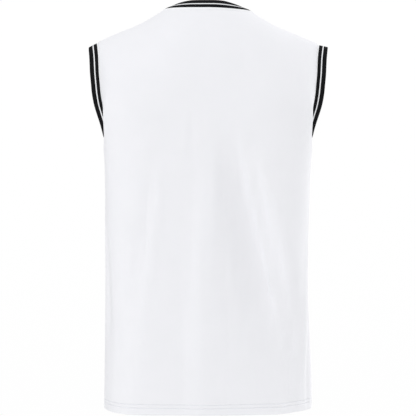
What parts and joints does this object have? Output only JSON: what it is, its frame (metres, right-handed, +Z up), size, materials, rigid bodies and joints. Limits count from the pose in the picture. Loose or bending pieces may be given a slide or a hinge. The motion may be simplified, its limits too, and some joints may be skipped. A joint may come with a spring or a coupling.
{
  "type": "basketball jersey",
  "caption": "Sleeveless sports jersey, hollow and filled out, with a V neck and striped rib bands round the neck and armholes.",
  "frame": {"origin": "on the shoulder line, midway between the neck ends of the two shoulder seams, where the wearer's shoulders carry the jersey", "axes": "+Z up towards the neck, -Y to the front of the jersey, +X to the wearer's left"},
  "size_m": [0.4348, 0.239, 0.7355],
  "materials": {
    "white_jersey_knit": "matte",
    "black_striped_rib": "matte"
  },
  "bodies": {
    "root": {"back_panel": "white_jersey_knit", "front_panel": "white_jersey_knit", "neck_band": "black_striped_rib", "armhole_band_left": "black_striped_rib", "armhole_band_right": "black_striped_rib"}
  },
  "joints": []
}
